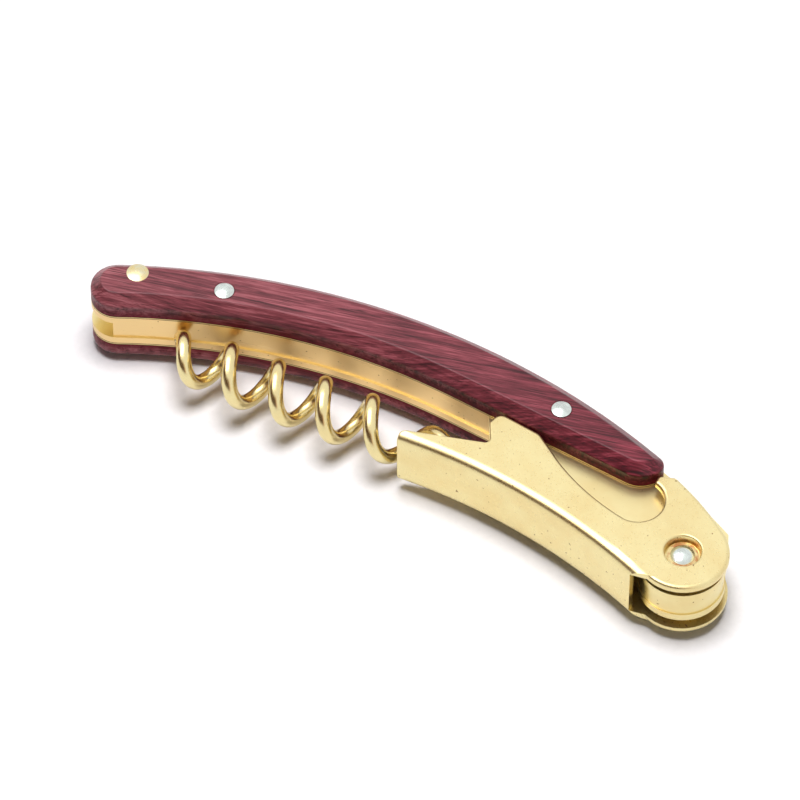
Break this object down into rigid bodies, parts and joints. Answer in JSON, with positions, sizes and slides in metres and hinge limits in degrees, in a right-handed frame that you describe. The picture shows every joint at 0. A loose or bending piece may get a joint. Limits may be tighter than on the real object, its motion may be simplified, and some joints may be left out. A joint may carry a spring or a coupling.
{
  "type": "waiters corkscrew",
  "caption": "Folding waiter's corkscrew: curved wood-scaled handle with a worm, a foil knife and a two-step lever that opens caps.",
  "frame": {"origin": "on the flat outer face of the lower scale, below the middle of the handle", "axes": "+X from the tail towards the lever's pivot, +Y towards the back (convex) side of the curved handle, +Z out of the upper scale, along every pivot"},
  "size_m": [0.1208, 0.0292, 0.0169],
  "materials": {
    "wood_scale": "wine-red stained and polished laminated wood",
    "gold_plate": "polished gold-coloured plating on steel",
    "pin_steel": "polished steel",
    "pin_brass": "polished pale brass",
    "washer_bronze": "plain bronze",
    "blade_steel": "ground stainless steel"
  },
  "bodies": {
    "handle": {"upper_scale": "wood_scale", "lower_scale": "wood_scale", "upper_scale_plate": "gold_plate", "lower_scale_plate": "gold_plate", "upper_liner": "gold_plate", "lower_liner": "gold_plate", "back_spring": "gold_plate", "knife_pin": "pin_brass", "spring_pin": "pin_steel", "scale_rivets": "pin_steel", "knife_washers": "washer_bronze", "worm_pin": "pin_steel", "lever_rivet": "pin_steel", "rivet_washers": "washer_bronze"},
    "lever": {"lever": "gold_plate"},
    "worm": {"worm": "gold_plate", "worm_hub": "gold_plate"},
    "knife": {"knife_blade": "blade_steel"}
  },
  "joints": [
    {"name": "lever_hinge", "type": "hinge", "parent": "handle", "child": "lever", "pos_m": [0.058, -0.0133, 0.008], "axis": [0, 0, 1], "range_deg": [0, 180]},
    {"name": "worm_hinge", "type": "hinge", "parent": "handle", "child": "worm", "pos_m": [0.03, -0.0108, 0.008], "axis": [0, 0, 1], "range_deg": [0, 90]},
    {"name": "knife_hinge", "type": "hinge", "parent": "handle", "child": "knife", "pos_m": [-0.0484, -0.0133, 0.008], "axis": [0, 0, 1], "range_deg": [0, 175]}
  ],
  "couplings": [
    {"joint": "worm_hinge", "follows": "lever_hinge", "ratio": 0.5}
  ]
}
